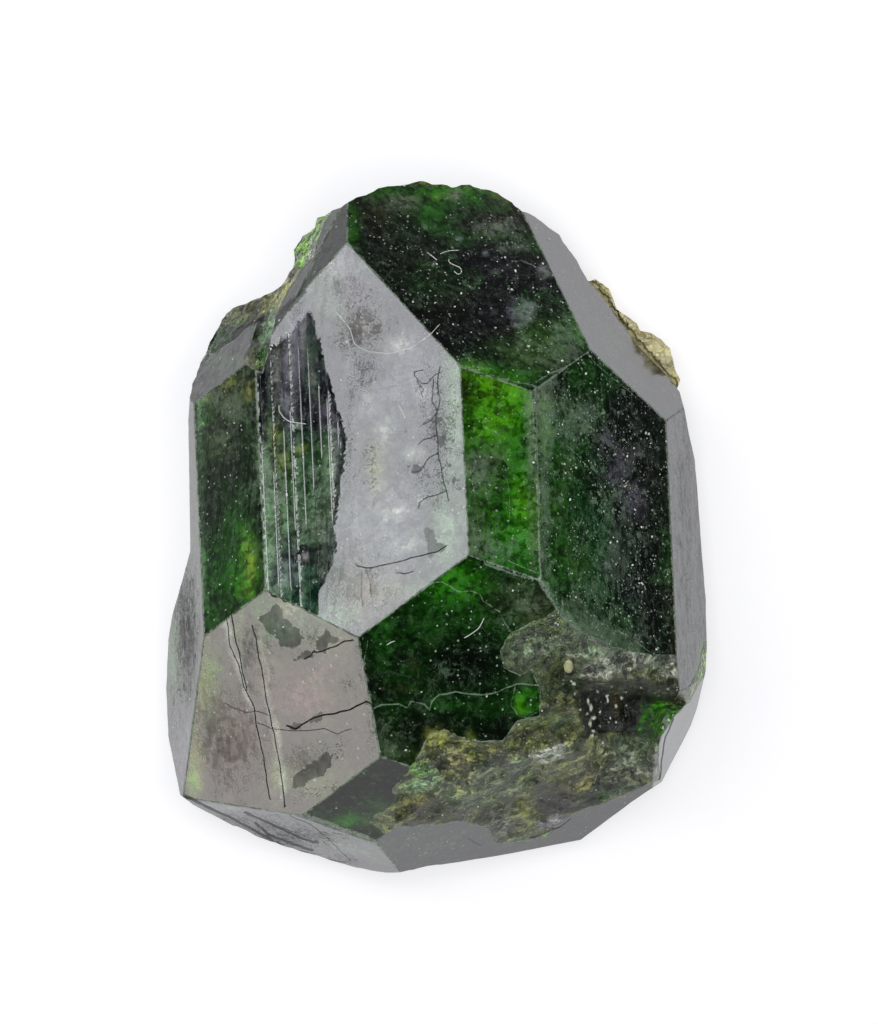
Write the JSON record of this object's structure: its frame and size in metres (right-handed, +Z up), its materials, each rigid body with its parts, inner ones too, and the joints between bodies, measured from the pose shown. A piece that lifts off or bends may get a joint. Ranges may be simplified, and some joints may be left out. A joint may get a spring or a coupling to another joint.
{
  "type": "demantoid garnet crystal",
  "caption": "Dark green garnet crystal with flat glossy faces, growth striations and a broken corner, lying on its broken flat base with a rind of matrix under one edge.",
  "frame": {"origin": "on the surface that the crystal rests on, under the middle of its outline", "axes": "+Y along the crystal's long [111] axis towards its chipped end, +X to the right and +Z up, away from the broken base"},
  "size_m": [0.0108, 0.0139, 0.0062],
  "materials": {
    "demantoid": "see-through deep green crystal, glossy flat faces, fibrous olive breaks",
    "matrix": "rough yellow-brown rind of mineral grains",
    "cream_matrix": "dull cream mineral grain"
  },
  "bodies": {
    "root": {"crystal": "demantoid", "matrix_crust": "matrix", "matrix_grain": "cream_matrix"}
  },
  "joints": []
}
